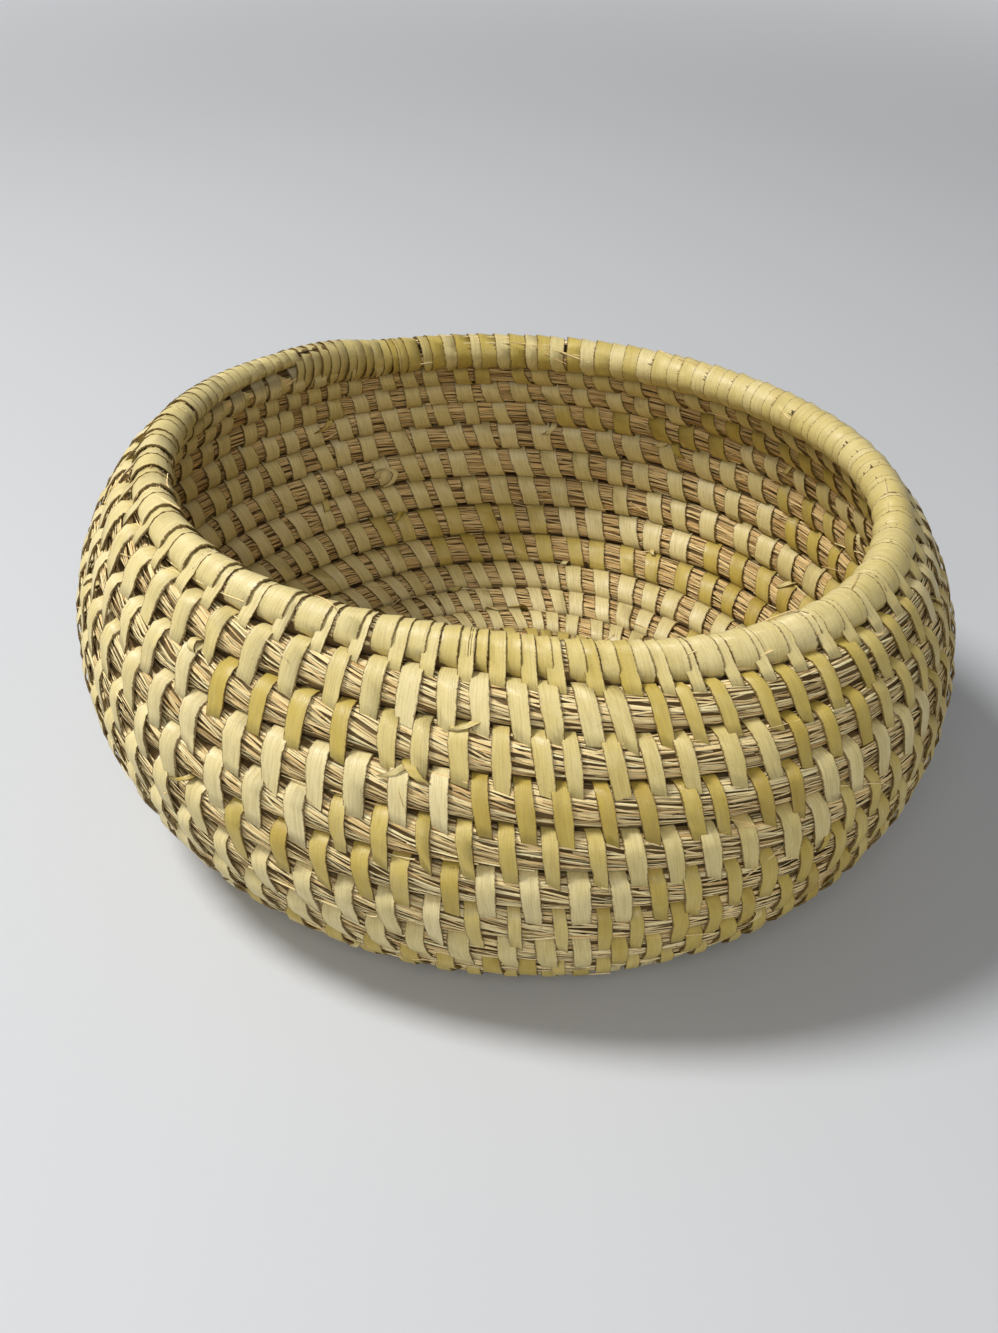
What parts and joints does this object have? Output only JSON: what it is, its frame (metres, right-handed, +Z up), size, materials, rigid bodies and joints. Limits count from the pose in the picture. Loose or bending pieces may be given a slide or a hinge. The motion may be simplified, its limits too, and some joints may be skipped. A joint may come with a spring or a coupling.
{
  "type": "coiled grass basket",
  "caption": "Round open bowl basket coiled from one bundle of grass, with an inward-leaning wall, a rim wound with leaf strip and a flat base to stand on.",
  "frame": {"origin": "under the middle of the basket's outline, on the surface it stands on", "axes": "+Z up through the mouth, -Y towards the pictured front, +X to its right"},
  "size_m": [0.2262, 0.212, 0.1024],
  "materials": {
    "grass_bundle": "matte dry grass stems, tan with darker gaps",
    "leaf_strip": "satin split leaf, pale straw to golden olive"
  },
  "bodies": {
    "root": {"rim_coil": "grass_bundle", "upper_neck_coil": "grass_bundle", "lower_neck_coil": "grass_bundle", "upper_shoulder_coil": "grass_bundle", "lower_shoulder_coil": "grass_bundle", "upper_belly_coil": "grass_bundle", "middle_belly_coil": "grass_bundle", "lower_belly_coil": "grass_bundle", "upper_flank_coil": "grass_bundle", "lower_flank_coil": "grass_bundle", "upper_heel_coil": "grass_bundle", "lower_heel_coil": "grass_bundle", "base_coil": "grass_bundle", "start_knot": "grass_bundle", "rim_wrap": "leaf_strip"}
  },
  "joints": []
}
